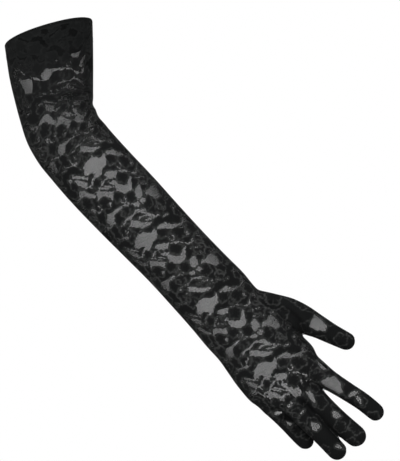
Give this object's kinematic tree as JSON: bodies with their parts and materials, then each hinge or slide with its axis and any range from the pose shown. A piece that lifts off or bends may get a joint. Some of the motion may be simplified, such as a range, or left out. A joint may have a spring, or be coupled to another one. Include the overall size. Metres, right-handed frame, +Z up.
{
  "type": "long lace glove",
  "caption": "Long black lace glove for the right hand, above the elbow, with five fingers, two lace panels, an outline seam and a folded hem.",
  "frame": {"origin": "middle of the cuff opening, where the arm goes in", "axes": "+Z up the upper arm, +X to the thumb side at the cuff, +Y from the back of the hand to the palm"},
  "size_m": [0.364, 0.0835, 0.4247],
  "materials": {
    "black_lace": "soft black floral stretch lace",
    "hem_cloth": "black lace folded double",
    "seam_thread": "black overlock thread"
  },
  "bodies": {
    "root": {"back_sleeve_top": "black_lace", "back_sleeve_middle": "black_lace", "back_sleeve_wrist": "black_lace", "back_hand": "black_lace", "back_thumb": "black_lace", "back_index": "black_lace", "back_middle": "black_lace", "back_ring": "black_lace", "back_little": "black_lace", "palm_sleeve_top": "black_lace", "palm_sleeve_middle": "black_lace", "palm_sleeve_wrist": "black_lace", "palm_hand": "black_lace", "palm_thumb": "black_lace", "palm_index": "black_lace", "palm_middle": "black_lace", "palm_ring": "black_lace", "palm_little": "black_lace", "cuff_hem": "hem_cloth", "outline_seam": "seam_thread"}
  },
  "joints": []
}
